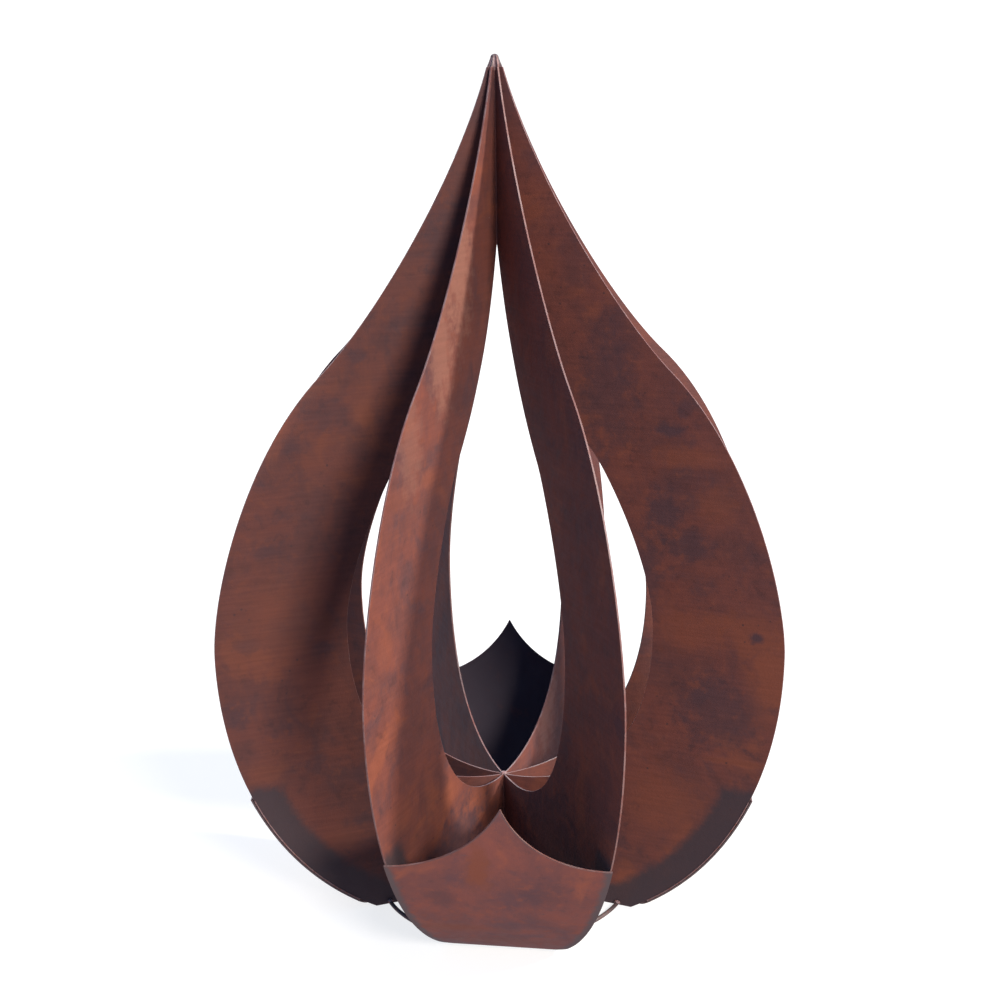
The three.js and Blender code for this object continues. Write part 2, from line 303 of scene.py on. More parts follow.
def build_petal(side, materials):
    """One folded sheet: a grid from the outer edge to the opening on each face, joined at the cut edges."""
    turn = quarter_turn(side)
    lean = FOLD_LEAN[side]
    pairs = [(leaned(o, lean), leaned(h, lean)) for o, h in blank_pairs()]
    vertices, rim, fold = [], [], []
    for outer, hole in pairs:
        width = (hole - outer).length
        for w in (SHEET / 2, -SHEET / 2):
            for j in range(ACROSS_STEPS + 1):
                share = j / ACROSS_STEPS
                point = outer.lerp(hole, share)
                plan = folded(point.x, w)
                vertices.append(turn @ Vector((plan.x, plan.y, point.y)))
                rim.append(width * share)
                fold.append(point.x)
    row = ACROSS_STEPS + 1
    count = len(pairs)
    faces, cut = [], []
    for i in range(count):
        a, b = i * 2 * row, ((i + 1) % count) * 2 * row
        for j in range(ACROSS_STEPS):
            faces.append((a + j, b + j, b + j + 1, a + j + 1))
            faces.append((a + row + j, a + row + j + 1, b + row + j + 1, b + row + j))
        cut.append(len(faces))
        faces.append((a, a + row, b + row, b))
        cut.append(len(faces))
        faces.append((a + row - 1, b + row - 1, b + 2 * row - 1, a + 2 * row - 1))
    piece = add_piece("petal_sheet_" + side, vertices, faces, materials, ["petal_" + side])
    for index in cut:
        piece.data.polygons[index].material_index = 1
    set_attribute(piece, "rim", rim)
    set_attribute(piece, "fold", fold)
    set_attribute(piece, "tone", [TONE[side]] * len(vertices))
    smooth(piece)
    ease_edges(piece, EDGE_ROUND, 1)
    return piece


def interpolate(heights, values, height):
    upper = 1
    while upper < len(heights) - 1 and heights[upper] < height:
        upper += 1
    share = (height - heights[upper - 1]) / (heights[upper] - heights[upper - 1])
    return values[upper - 1].lerp(values[upper], share)


def fin_edge(sign, lean):
    """Lower outer edge of one fin: sign is 1 for the petal's right fin and -1 for its left one."""
    edge = []
    for point in foot_to_belly(STRETCH_STEPS["lower"]):
        moved = leaned(Vector((sign * point.x, point.y)), lean)
        edge.append(Vector((sign * moved.x, point.y)))
    return edge


def plate_line(sign, lean, offset):
    """Line along one fin's outer edge, moved outwards, that a face of the foot plate passes through."""
    edge = []
    for point in fin_edge(sign, lean):
        corner = folded(point.x, -SHEET / 2)
        edge.append(Vector((sign * corner.x, corner.y, point.y)))
    moved = []
    for i, point in enumerate(edge):
        along = edge[min(i + 1, len(edge) - 1)] - edge[max(i - 1, 0)]
        along.x = 0
        along.normalize()
        moved.append(Vector((point.x, point.y - along.z * offset, point.z + along.y * offset)))
    return moved


def arc_radius(reach, rise):
    return (reach * reach + rise * rise) / (2 * rise)


def plate_half_width(sign, lean, cusp_height, z):
    """Distance of a foot plate's edge from the petal's middle."""
    edge = fin_edge(sign, lean)
    heights = [point.y for point in edge]

    def fin_width(height):
        return folded(interpolate(heights, edge, height).x, SHEET / 2).x + PLATE_OVERHANG

    if z > PLATE_SHOULDER:
        reach = fin_width(PLATE_SHOULDER)
        rise = z - PLATE_SHOULDER
        return reach - math.sqrt(rise * (2 * arc_radius(reach, cusp_height - PLATE_SHOULDER) - rise))
    corner_share = min((z - PLATE_BOTTOM) / PLATE_CORNER.y, 1)
    return fin_width(z) - PLATE_CORNER.x * (1 - math.sqrt(corner_share * (2 - corner_share)))


def plate_heights(cusp_height):
    """Heights of a foot plate's rows, closer together round its corners."""
    heights = []
    side_rows = PLATE_ROWS // 2
    for i in range(PLATE_CORNER_ROWS):
        heights.append(PLATE_BOTTOM + PLATE_CORNER.y * (1 - math.cos(i / PLATE_CORNER_ROWS * UP)))
    corner_top = PLATE_BOTTOM + PLATE_CORNER.y
    for i in range(side_rows):
        heights.append(corner_top + (PLATE_SHOULDER - corner_top) * i / side_rows)
    reach = plate_half_width(1, 0, cusp_height, PLATE_SHOULDER)
    radius = arc_radius(reach, cusp_height - PLATE_SHOULDER)
    sweep = math.asin((reach - CUSP_HALF_WIDTH) / radius)
    arc_rows = PLATE_ROWS - side_rows
    for i in range(arc_rows + 1):
        heights.append(PLATE_SHOULDER + radius * (1 - math.cos(i / arc_rows * sweep)))
    return heights


def plate_frame(side):
    """What places a point of a foot plate: a function of a share across, a height and a face."""
    lean = FOLD_LEAN[side]
    cusp_height, drift = CUSP[side]
    heights = [point.y for point in foot_to_belly(STRETCH_STEPS["lower"])]
    lines = {
        face: [plate_line(sign, lean, offset) for sign in (-1, 1)]
        for face, offset in (("inside", GAP), ("outside", GAP + SHEET))
    }
    turn = quarter_turn(side)

    def place(share, z, face):
        shift = drift * max(z - PLATE_SHOULDER, 0) / (cusp_height - PLATE_SHOULDER)
        left_x = shift - plate_half_width(-1, lean, cusp_height, z)
        right_x = shift + plate_half_width(1, lean, cusp_height, z)
        x = left_x + (right_x - left_x) * share
        left, right = (interpolate(heights, points, z) for points in lines[face])
        point = left.lerp(right, (x - left.x) / (right.x - left.x))
        return turn @ point, min(x - left_x, right_x - x)

    return place


def build_plate(side, materials):
    """Bent sheet over the fins' lower edges, with two hollow arcs and a cusp on top."""
    place = plate_frame(side)
    cusp_height = CUSP[side][0]
    rows = plate_heights(cusp_height)
    columns = PLATE_COLUMNS + 1
    vertices, margin = [], []
    for z in rows:
        for face in ("inside", "outside"):
            for j in range(columns):
                point, inset = place(j / PLATE_COLUMNS, z, face)
                vertices.append(point)
                margin.append(inset)
    faces, cut, hidden = [], [], []
    for i in range(len(rows) - 1):
        a, b = i * 2 * columns, (i + 1) * 2 * columns
        for j in range(PLATE_COLUMNS):
            hidden.append(len(faces))
            faces.append((a + j, b + j, b + j + 1, a + j + 1))
            faces.append((a + columns + j, a + columns + j + 1, b + columns + j + 1, b + columns + j))
        cut.append(len(faces))
        faces.append((a, a + columns, b + columns, b))
        cut.append(len(faces))
        faces.append((a + columns - 1, b + columns - 1, b + 2 * columns - 1, a + 2 * columns - 1))
    last = (len(rows) - 1) * 2 * columns
    for j in range(PLATE_COLUMNS):
        cut.append(len(faces))
        faces.append((j, j + 1, columns + j + 1, columns + j))
        cut.append(len(faces))
        faces.append((last + j, last + columns + j, last + columns + j + 1, last + j + 1))
    piece = add_piece("plate_sheet_" + side, vertices, faces, materials,
                      ["foot_plate_" + side])
    for index in cut:
        above = vertices[faces[index][0]].z > PLATE_SHOULDER
        piece.data.polygons[index].material_index = 1 if above else 0
    # The inside faces take the third material, painted shade for the channels' depths.
    for index in hidden:
        piece.data.polygons[index].material_index = 2
    set_attribute(piece, "margin", margin)
    smooth(piece)
    ease_edges(piece, EDGE_ROUND, 1)
    return piece


class Skin:
    """Collects the faces of swept rods, weld beads and lumps that make one piece."""

    def __init__(self):
        self.vertices = []
        self.faces = []

    def rings(self, rings, closed=False):
        """Joins rings of equally many points; open ends are capped."""
        first, sides = len(self.vertices), len(rings[0])
        for ring in rings:
            self.vertices += ring
        for i in range(len(rings) if closed else len(rings) - 1):
            a, b = first + i * sides, first + (i + 1) % len(rings) * sides
            for k in range(sides):
                after = (k + 1) % sides
                self.faces.append((a + k, a + after, b + after, b + k))
        if not closed:
            last = first + (len(rings) - 1) * sides
            self.faces.append(tuple(range(first + sides - 1, first - 1, -1)))
            self.faces.append(tuple(range(last, last + sides)))

    def tube(self, centres, radii, sides, closed=False):
        """Round section swept along a path."""
        rings, count = [], len(centres)
        for i, (centre, radius) in enumerate(zip(centres, radii)):
            before = centres[i - 1] if closed or i else centres[0]
            after = centres[(i + 1) % count] if closed or i < count - 1 else centre
            along = (after - before).normalized()
            across = along.cross(Vector((0, 0, 1))).normalized()
            over = across.cross(along)
            ring = []
            for k in range(sides):
                angle = 2 * math.pi * k / sides
                ring.append(centre + (across * math.cos(angle) + over * math.sin(angle)) * radius)
            rings.append(ring)
        self.rings(rings, closed)

    def lump(self, centre, radii, turn, seed, rough=0.16, sides=20):
        """Uneven blob of weld, drawn out along its own axes and flat where it would dip below the ground."""
        rings = []
        for i in range(1, sides // 2):
            polar = math.pi * i / (sides // 2)
            ring = []
            for k in range(sides):
                angle = 2 * math.pi * k / sides
                flat = math.sin(polar)
                unit = Vector((flat * math.cos(angle), flat * math.sin(angle), math.cos(polar)))
                swell = 1 - rough + rough * noise.noise(unit * LUMP_GRAIN + Vector((seed, seed * 0.7, -seed)))
                point = Vector(unit[axis] * radii[axis] * swell for axis in range(3))
                point.rotate(Matrix.Rotation(turn, 3, "Z"))
                point += centre
                point.z = max(point.z, 0)
                ring.append(point)
            rings.append(ring)
        self.rings(rings)

    def piece(self, name, material, slot, replaces=()):
        made = add_piece(name, self.vertices, self.faces, [material], replaces)
        shell = bmesh.new()
        shell.from_mesh(made.data)
        bmesh.ops.recalc_face_normals(shell, faces=shell.faces)
        shell.to_mesh(made.data)
        shell.free()
        smooth(made, 60)
        return made


def fin_point(side, sign, s, z, w):
    """Point on a petal's sheet: sign tells the right fin from the left one, w runs towards the axis."""
    plan = folded(leaned(Vector((sign * s, z)), FOLD_LEAN[side]).x, w)
    return quarter_turn(side) @ Vector((plan.x, plan.y, z))


def build_ring(material):
    """Round bar bent to a ring, hammered a little out of true."""
    skin = Skin()
    centres, radii = [], []
    for i in range(RING_STATIONS):
        angle = 2 * math.pi * i / RING_STATIONS
        around = Vector((math.cos(angle), math.sin(angle), 0))
        wobble = RING_WOBBLE * noise.noise(around * 2.3)
        radius = ROD_RADIUS * (0.985 + 0.015 * noise.noise(around * 40))
        centres.append(around * (RING_RADIUS + wobble) + Vector((0, 0, ROD_RADIUS)))
        radii.append(radius)
    skin.tube(centres, radii, ROD_SIDES, closed=True)
    return skin.piece("ring_rod", material, "rusted_rod", ["base_ring"])


def build_ring_welds(material):
    skin = Skin()
    for quarter in range(4):
        for sign in (-1, 1):
            azimuth = quarter * UP + sign * FIN_SPREAD
            towards = Vector((math.sin(azimuth), -math.cos(azimuth), 0))
            seed = 3.1 * quarter + sign
            for beside in (-1, 1):
                across = Vector((-towards.y, towards.x, 0)) * beside * RING_WELD_BESIDE
                centre = towards * RING_RADIUS + across + Vector((0, 0, RING_WELD_HEIGHT))
                skin.lump(centre, RING_WELD, azimuth, seed + beside * 0.4, rough=0.25)
    return skin.piece("ring_welds", material, "weld_bead")


def build_plate_seams(material):
    """Ground weld bead down both sides of every foot plate, in the corner between the plate and the fin."""
    skin = Skin()
    lowest, highest = PLATE_BOTTOM + PLATE_CORNER.y, PLATE_SHOULDER - SEAM_STOP
    for side in SIDES:
        for sign in (-1, 1):
            path = [p for p in foot_to_belly(SEAM_STEPS) if lowest < p.y < highest]
            centres, radii, run = [], [], 0.0
            for i, point in enumerate(path):
                run += (point - path[i - 1]).length if i else 0
                centres.append(fin_point(side, sign, point.x - SEAM_INSET, point.y, SHEET / 2 + SEAM_PROUD))
                lay = 0.90 + 0.10 * abs(math.cos(math.pi * run / SEAM_RIPPLE))
                radii.append(SEAM_RADIUS * lay * (0.9 + 0.1 * noise.noise(centres[-1] * 90)))
            skin.tube(centres, radii, SEAM_SIDES)
    return skin.piece("plate_seams", material, "weld_bead")


def build_hub(material):
    """Weld where the eight edges of the openings meet."""
    skin = Skin()
    base = HOLE_BOTTOM + HUB_BEAD_RISE
    skin.lump(Vector((0, 0, base)), HUB_BEAD, turn=0.4, seed=1.7, rough=0.14, sides=24)
    for i in range(8):
        azimuth = (i + 0.5) * math.pi / 4
        reach = (3.1 + 0.5 * noise.noise(Vector((i * 1.9, 0.3, 0.8)))) * MM
        towards = Vector((math.sin(azimuth), -math.cos(azimuth), 0))
        centre = towards * reach + Vector((0, 0, base - HUB_LOBE_DROP))
        skin.lump(centre, HUB_LOBE, azimuth, seed=5.0 + i, rough=0.2, sides=12)
    return skin.piece("hub_bead", material, "weld_bead", ["hub_weld"])


def build_tip(material):
    """Weld over the fins' ends: ridges carry the fins on, fills close the channels, a round cap ends it."""
    base, shoulder = TIP.y, HEIGHT - TIP_CAP_HEIGHT
    levels = []
    for i in range(1, TIP_DOME_ROWS):
        drop = math.cos(i / TIP_DOME_ROWS * UP)
        levels.append((base - TIP_FILL_DEPTH * drop, 0.9 * TIP_WELD_RADIUS * math.sqrt(1 - drop * drop), 0.0))
    for i in range(TIP_TAPER_ROWS + 1):
        share = i / TIP_TAPER_ROWS
        radius = TIP_WELD_RADIUS + (TIP_CAP_RADIUS - TIP_WELD_RADIUS) * share
        levels.append((base + (shoulder - base) * share, radius, 1.0 - 0.5 * share))
    for i in range(1, TIP_DOME_ROWS):
        angle = i / TIP_DOME_ROWS * UP
        levels.append((shoulder + TIP_CAP_HEIGHT * math.sin(angle), TIP_CAP_RADIUS * math.cos(angle),
                       0.5 * math.cos(angle)))
    levels.append((HEIGHT, 0.3 * MM, 0.0))
    rings, ridges = [], []
    for z, radius, relief in levels:
        ring = []
        for k in range(TIP_COLUMNS):
            azimuth = 2 * math.pi * k / TIP_COLUMNS
            from_fin = abs((azimuth / (2 * FIN_SPREAD)) % 1 - 0.5) * 2 * FIN_SPREAD
            ridge = math.exp(-((from_fin / TIP_RIDGE_SPREAD) ** 2))
            around = Vector((math.sin(azimuth), -math.cos(azimuth), 0))
            uneven = 1 - 0.02 * (1 + noise.noise(around * 1.6 + Vector((0, 0, z * 420))))
            share = TIP_FILL_SHARE if z < base else 1
            if relief:
                share = 1 - relief * (1 - TIP_FILL_SHARE) * (1 - ridge)
            ring.append(around * radius * share * uneven + Vector((0, 0, z)))
            ridges.append(ridge if z > base else 0.0)
        rings.append(ring)
    skin = Skin()
    skin.rings(rings)
    piece = skin.piece("tip_bead", material, "weld_bead", ["tip_weld"])
    set_attribute(piece, "ridge", ridges)
    return piece


TACKS = [(Vector((-8, -20, 827)) * MM, -FIN_SPREAD), (Vector((4, -10, 824)) * MM, FIN_SPREAD)]


def build_tacks(material):
    """Two small tacks in the front petal's channel, just above its opening."""
    skin = Skin()
    for i, (centre, azimuth) in enumerate(TACKS):
        skin.lump(centre, TACK, azimuth, seed=11.0 + i, rough=0.3, sides=12)
    return skin.piece("channel_tacks", material, "weld_bead")


class Finish:
    """A procedural material that is laid on in layers."""

    def __init__(self, name, specular):
        self.material = bpy.data.materials.new(name)
        self.material.use_nodes = True
        self.tree = self.material.node_tree
        self.shader = self.tree.nodes["Principled BSDF"]
        self.shader.inputs["Specular IOR Level"].default_value = specular
        self.place = self.add("ShaderNodeTexCoord").outputs["Object"]
        self.color = None

    def add(self, kind, **settings):
        node = self.tree.nodes.new(kind)
        for name, value in settings.items():
            setattr(node, name, value)
        return node

    def feed(self, socket, value):
        """Links a socket to another one, or sets it to a number or a colour."""
        if isinstance(value, bpy.types.NodeSocket):
            self.tree.links.new(value, socket)
        elif isinstance(value, tuple) and len(value) == 3 and len(socket.default_value) == 4:
            socket.default_value = (*value, 1)
        else:
            socket.default_value = value

    def math(self, operation, *values):
        node = self.add("ShaderNodeMath", operation=operation)
        for socket, value in zip(node.inputs, values):
            self.feed(socket, value)
        return node.outputs[0]

    def attribute(self, name):
        return self.add("ShaderNodeAttribute", attribute_name=name).outputs["Fac"]

    def height(self):
        node = self.add("ShaderNodeSeparateXYZ")
        self.feed(node.inputs[0], self.place)
        return node.outputs["Z"]

    def noise(
        self, size, shift=0.0, detail=4.0, roughness=0.55, stretch=(1, 1, 1), distortion=0.0, place=None
    ):
        """Noise with features of that size in metres; stretch makes them longer along an axis."""
        scaled = self.add("ShaderNodeVectorMath", operation="MULTIPLY_ADD")
        self.feed(scaled.inputs[0], place or self.place)
        self.feed(scaled.inputs[1], tuple(1 / (size * axis) for axis in stretch))
        self.feed(scaled.inputs[2], (shift, shift * 1.7, shift * 2.3))
        node = self.add("ShaderNodeTexNoise")
        self.feed(node.inputs["Vector"], scaled.outputs[0])
        self.feed(node.inputs["Scale"], 1.0)
        self.feed(node.inputs["Detail"], detail)
        self.feed(node.inputs["Roughness"], roughness)
        self.feed(node.inputs["Distortion"], distortion)
        return node.outputs[0]

    def spots(self, size, shift=0.0):
        """Distance from scattered points, in units of their spacing."""
        scaled = self.add("ShaderNodeVectorMath", operation="MULTIPLY_ADD")
        self.feed(scaled.inputs[0], self.place)
        self.feed(scaled.inputs[1], (1 / size,) * 3)
        self.feed(scaled.inputs[2], (shift, shift * 1.3, shift * 2.9))
        node = self.add("ShaderNodeTexVoronoi")
        self.feed(node.inputs["Vector"], scaled.outputs[0])
        self.feed(node.inputs["Scale"], 1.0)
        return node.outputs["Distance"]

    def band(self, value, low, high, top=1.0):
        """0 at low and top at high, with a soft step between them."""
        node = self.add("ShaderNodeMapRange", interpolation_type="SMOOTHSTEP")
        self.feed(node.inputs["Value"], value)
        self.feed(node.inputs["From Min"], low)
        self.feed(node.inputs["From Max"], high)
        self.feed(node.inputs["To Max"], top)
        return node.outputs[0]

    def range(self, value, low, high):
        """Noise stretched to run from low to high."""
        node = self.add("ShaderNodeMapRange")
        self.feed(node.inputs["Value"], value)
        self.feed(node.inputs["From Min"], 0.3)
        self.feed(node.inputs["From Max"], 0.7)
        self.feed(node.inputs["To Min"], low)
        self.feed(node.inputs["To Max"], high)
        return node.outputs[0]

    def layer(self, amount, color):
        """Lays a colour over what is there already."""
        node = self.add("ShaderNodeMix", data_type="RGBA")
        self.feed(node.inputs[0], amount)
        self.feed(node.inputs[6], self.color)
        self.feed(node.inputs[7], color)
        self.color = node.outputs[2]

    def shade(self, factor):
        """Multiplies the colour by a number that varies."""
        node = self.add("ShaderNodeVectorMath", operation="SCALE")
        self.feed(node.inputs[0], self.color)
        self.feed(node.inputs["Scale"], factor)
        self.color = node.outputs[0]

    def bump(self, height, depth):
        """Relief of that depth in metres."""
        node = self.add("ShaderNodeBump")
        self.feed(node.inputs["Distance"], depth)
        self.feed(node.inputs["Height"], height)
        return node.outputs[0]

    def finish(self, roughness, normal):
        self.feed(self.shader.inputs["Base Color"], self.color)
        self.feed(self.shader.inputs["Roughness"], roughness)
        self.feed(self.shader.inputs["Normal"], normal)
        return self.material


RUST_RED = (0.152, 0.046, 0.031)
RUST_BROWN = (0.116, 0.040, 0.031)
RUST_ORANGE = (0.205, 0.058, 0.029)
RUST_SLATE = (0.070, 0.035, 0.037)
RUST_DARK = (0.052, 0.025, 0.022)
GROUND_GREY = (0.040, 0.029, 0.031)
MARGIN_GREY = (0.104, 0.072, 0.066)
# Painted shade: a dark bluish colour for faces deep in the petals' channels
PAINTED_SHADE_DARK = (0.035, 0.023, 0.032)
BARE_EDGE = (0.190, 0.105, 0.088)
WELD_GREY = (0.24, 0.145, 0.13)
ROD_GREY = (0.075, 0.050, 0.045)
# Painted highlight: a pale rust colour laid on strips where light falls
PAINTED_HIGHLIGHT_RUST = (0.218, 0.090, 0.060)

# Stains by place, with patches of painted shade and painted highlight among them: centre and reach in
# millimetres, colour and strength. Most are only on the front petals.
STAINS_AND_PAINTED_LIGHT = [
    ((-285, -118, 356), (15, 10), RUST_SLATE, 0.6),
    ((-264, -109, 464), (20, 9), RUST_SLATE, 0.4),
    ((-156, -65, 678), (10, 10), RUST_SLATE, 0.5),
    ((-192, -80, 614), (28, 23), RUST_SLATE, 0.4),
    ((-225, -93, 582), (20, 9), RUST_SLATE, 0.35),
    ((-205, -85, 342), (17, 12), RUST_SLATE, 0.6),
    ((-301, -125, 271), (15, 18), RUST_SLATE, 0.4),
    ((-251, -104, 385), (60, 54), RUST_ORANGE, 0.45),
    ((-152, -63, 614), (14, 16), RUST_ORANGE, 0.7),
    ((-272, -113, 196), (26, 15), RUST_ORANGE, 0.6),
    ((-191, -79, 95), (28, 18), RUST_ORANGE, 0.5),
    ((308, -128, 322), (30, 54), RUST_ORANGE, 1.0),
    ((284, -118, 372), (38, 24), RUST_ORANGE, 0.7),
    ((219, -91, 363), (43, 26), RUST_ORANGE, 0.6),
    ((191, -79, 147), (54, 44), RUST_ORANGE, 0.6),
    ((149, -62, 36), (18, 24), RUST_ORANGE, 0.8),
    ((215, -89, 566), (44, 13), RUST_ORANGE, 0.7),
    ((246, -102, 515), (26, 24), RUST_ORANGE, 0.6),
    ((272, -113, 211), (40, 5), RUST_ORANGE, 0.8),
    ((291, -121, 365), (9, 8), RUST_SLATE, 0.9),
    ((251, -104, 268), (46, 46), RUST_SLATE, 0.6),
    ((187, -77, 501), (22, 28), RUST_SLATE, 0.8),
    ((217, -90, 464), (28, 20), RUST_SLATE, 0.7),
    ((193, -80, 596), (19, 9), RUST_SLATE, 0.8),
    ((-57, -138, 182), (30, 15), RUST_ORANGE, 0.6),
    ((-104, -250, 206), (27, 20), RUST_ORANGE, 0.5),
    ((-71, -171, 564), (19, 12), RUST_ORANGE, 0.55),
    ((-97, -235, 557), (22, 14), RUST_ORANGE, 0.4),
    ((-112, -270, 405), (17, 24), RUST_ORANGE, 0.5),
    # Painted shade: a dark purplish patch low on the front petal's left fin, near the fold.
    ((-50, -120, 110), (62, 46), RUST_SLATE, 0.8),
    # Painted shade: a large dark bluish patch low in the channel, on the front petal's right fin.
    ((60, -140, 120), (95, 90), PAINTED_SHADE_DARK, 0.6),
    ((126, -52, 640), (34, 70), RUST_SLATE, 0.6),
    ((170, -70, 420), (18, 60), RUST_SLATE, 0.6),
    ((-60, -25, 800), (22, 60), RUST_SLATE, 0.5),
    # Painted highlight: the four pale patches below brighten lit strips, three along the outer edge of the
    # front petal's left fin and one on the back petal's right fin.
    ((-38, -92, 790), (30, 90), PAINTED_HIGHLIGHT_RUST, 0.95),
    ((-56, -136, 700), (30, 70), PAINTED_HIGHLIGHT_RUST, 0.8),
    ((50, 122, 195), (34, 90), PAINTED_HIGHLIGHT_RUST, 0.7),
    ((-86, -208, 610), (26, 60), PAINTED_HIGHLIGHT_RUST, 0.5),
]
PLATE_STAINS = [
    ((-20, -287, 165), (15, 38), RUST_ORANGE, 1.0),
    ((-18, -294, 190), (10, 40), RUST_ORANGE, 0.6),
    ((-50, -228, 62), (48, 9), RUST_ORANGE, 0.8),
    ((10, -196, 30), (60, 14), RUST_ORANGE, 0.5),
    ((-60, -262, 120), (22, 16), RUST_SLATE, 0.4),
    ((50, -265, 130), (34, 24), RUST_SLATE, 0.3),
]


def rust_base(finish, shift):
    """Patchy brown-red patina that every sheet has."""
    finish.color = RUST_BROWN
    finish.layer(finish.band(finish.noise(0.050, shift, 4.0, 0.62, distortion=0.4), 0.36, 0.62), RUST_RED)
    clouds = finish.noise(0.085, shift + 3.1, 4.0, 0.62, distortion=0.6)
    finish.layer(finish.band(clouds, 0.53, 0.70, 0.75), RUST_ORANGE)
    finish.layer(finish.band(clouds, 0.47, 0.32, 0.6), RUST_SLATE)
    mottle = finish.noise(0.014, shift + 1.9, 4.0, 0.65)
    finish.layer(finish.band(mottle, 0.52, 0.72, 0.4), RUST_ORANGE)
    finish.layer(finish.band(mottle, 0.47, 0.28, 0.4), RUST_DARK)
    return mottle


def soft_patch(finish, centre, reach, color, strength, wander):
    """A soft-edged patch round a point; wander is noise that breaks up its outline."""
    across, up = reach
    scaled = finish.add("ShaderNodeVectorMath", operation="MULTIPLY_ADD")
    finish.feed(scaled.inputs[0], finish.place)
    per_metre = (1 / (across * MM), 1 / (across * MM), 1 / (up * MM))
    finish.feed(scaled.inputs[1], per_metre)
    finish.feed(scaled.inputs[2], tuple(-centre[axis] * MM * per_metre[axis] for axis in range(3)))
    distance = finish.add("ShaderNodeVectorMath", operation="LENGTH")
    finish.feed(distance.inputs[0], scaled.outputs[0])
    ragged = finish.math("ADD", distance.outputs["Value"], wander)
    finish.layer(finish.band(ragged, 1.35, 0.35, strength), color)


def rusted_sheet():
    finish = Finish("rusted_sheet", 0.3)
    rim = finish.attribute("rim")
    height = finish.height()
    mottle = rust_base(finish, 0.0)
    wander = finish.range(mottle, -0.45, 0.45)
    # Rust stains, with the patches of painted shade and painted highlight among them
    for centre, reach, color, strength in STAINS_AND_PAINTED_LIGHT:
        soft_patch(finish, centre, reach, color, strength, wander)
    sheet_place = finish.add("ShaderNodeCombineXYZ")
    finish.feed(sheet_place.inputs[0], finish.attribute("fold"))
    finish.feed(sheet_place.inputs[1], height)
    streaks = finish.noise(0.004, 2.2, 2.0, stretch=(14, 1, 1), place=sheet_place.outputs[0])
    finish.shade(finish.range(streaks, 0.92, 1.08))
    finish.shade(finish.attribute("tone"))
    # Ground band where the foot plates' welds were dressed
    ragged = finish.range(mottle, -0.003, 0.003)
    near_rim = finish.band(finish.math("ADD", rim, ragged), 0.041, 0.027)
    under_shoulder = finish.band(finish.math("ADD", height, ragged), 0.186, 0.170)
    dressed = finish.math("MULTIPLY", near_rim, under_shoulder)
    finish.layer(finish.math("MULTIPLY", dressed, 0.88), GROUND_GREY)
    # Soot at the top, from the tip's weld
    finish.layer(finish.band(height, 0.90, 0.985, 0.45), RUST_SLATE)
    # Pits
    pit_zone = finish.band(finish.noise(0.06, 9.9, 1.0), 0.50, 0.62)
    pitted = finish.math("MULTIPLY", finish.band(finish.spots(0.014, 4.4), 0.14, 0.05), pit_zone)
    finish.layer(finish.math("MULTIPLY", pitted, 0.8), RUST_DARK)
    relief = finish.math("MULTIPLY_ADD", finish.noise(0.0018, 1.0, 2.0, 0.7), 0.4, mottle)
    normal = finish.bump(relief, 0.0004)
    return finish.finish(finish.range(mottle, 0.55, 0.70), normal)


def brushed_sheet():
    finish = Finish("brushed_rust_sheet", 0.35)
    margin = finish.attribute("margin")
    mottle = rust_base(finish, 12.0)
    finish.shade(1.42)
    wander = finish.range(mottle, -0.45, 0.45)
    for centre, reach, color, strength in PLATE_STAINS:
        soft_patch(finish, centre, reach, color, strength, wander)
    ragged = finish.range(mottle, -0.0025, 0.0025)
    near_side = finish.band(finish.math("ADD", margin, ragged), 0.012, 0.003)
    low = finish.band(finish.height(), PLATE_SHOULDER + 0.004, PLATE_SHOULDER - 0.004)
    finish.layer(finish.math("MULTIPLY", near_side, low), MARGIN_GREY)
    finish.layer(finish.band(margin, 0.003, 0.001, 0.6), MARGIN_GREY)
    scratches = finish.noise(0.0016, 5.5, 2.0, 0.6, stretch=(10, 10, 1))
    scratch_zone = finish.band(finish.noise(0.03, 2.4, 1.0), 0.5, 0.65)
    finish.layer(finish.math("MULTIPLY", finish.band(scratches, 0.62, 0.74, 0.4), scratch_zone), MARGIN_GREY)
    relief = finish.math("MULTIPLY_ADD", finish.noise(0.0018, 1.0, 2.0, 0.7), 0.4, mottle)
    normal = finish.bump(relief, 0.0003)
    return finish.finish(finish.range(mottle, 0.50, 0.66), normal)


# Painted shade: the foot plates' inside faces, deep in the channels, get a dark bluish colour with some rust
# mottle over it.
def painted_shade_inside():
    finish = Finish("painted_shade_inside", 0.2)
    finish.color = PAINTED_SHADE_DARK
    mottle = finish.noise(0.02, 3.0, 4.0, 0.6)
    finish.layer(finish.band(mottle, 0.58, 0.78, 0.35), RUST_BROWN)
    return finish.finish(finish.range(mottle, 0.45, 0.6), finish.bump(mottle, 0.0003))


def bare_edge():
    finish = Finish("bare_edge", 0.5)
    finish.color = BARE_EDGE
    mottle = finish.noise(0.018, 2.0, 4.0, 0.65)
    finish.layer(finish.band(mottle, 0.40, 0.62, 0.8), RUST_RED)
    return finish.finish(finish.range(mottle, 0.45, 0.62), finish.bump(mottle, 0.0002))


def rusted_rod():
    finish = Finish("rusted_rod", 0.45)
    finish.color = ROD_GREY
    mottle = finish.noise(0.006, 31.0, 4.0, 0.62)
    finish.layer(finish.band(mottle, 0.50, 0.68, 0.6), RUST_RED)
    finish.layer(finish.band(mottle, 0.45, 0.30, 0.6), RUST_DARK)
    return finish.finish(finish.range(mottle, 0.45, 0.65), finish.bump(mottle, 0.0003))


